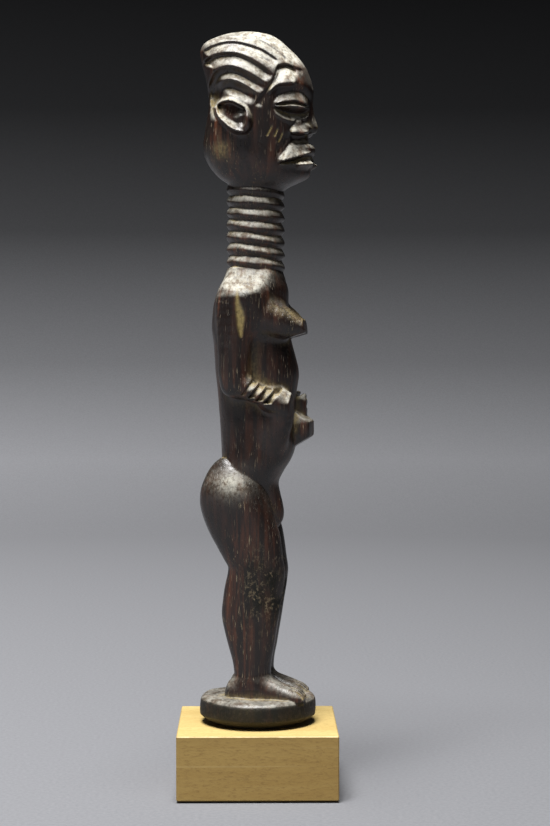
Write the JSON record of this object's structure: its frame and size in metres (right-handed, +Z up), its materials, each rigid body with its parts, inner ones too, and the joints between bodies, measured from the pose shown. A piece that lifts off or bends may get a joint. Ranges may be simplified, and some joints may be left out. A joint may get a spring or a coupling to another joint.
{
  "type": "carved fertility doll on a display block",
  "caption": "Standing carved hardwood doll with a ringed neck and dressed hair, on a round foot plate pinned to a square display block.",
  "frame": {"origin": "under the middle of the display block, on the plane that the felt pads rest on", "axes": "+Z up along the doll; X and Y square to the block's sides; the doll faces +X, turned 10 degrees towards -Y"},
  "size_m": [0.0636, 0.0636, 0.3032],
  "materials": {
    "carved_hardwood": "dark, oiled and hand-polished, with pale dust left in the cuts",
    "pale_block_wood": "pale fine-grained wood, matt",
    "pin_steel": "drawn steel rod",
    "pad_felt": "dark pressed felt"
  },
  "bodies": {
    "block": {"display_block": "pale_block_wood", "felt_pad_front_right": "pad_felt", "felt_pad_front_left": "pad_felt", "felt_pad_back_right": "pad_felt", "felt_pad_back_left": "pad_felt"},
    "pin": {"mounting_pin": "pin_steel"},
    "figure": {"carved_figure": "carved_hardwood"}
  },
  "joints": [
    {"name": "figure_turn", "type": "hinge", "parent": "block", "child": "pin", "pos_m": [0, 0, 0.0262], "axis": [0, 0, 1], "continuous": true},
    {"name": "figure_lift", "type": "slide", "parent": "pin", "child": "figure", "axis": [0, 0, 1], "range_m": [0, 0.03]}
  ]
}
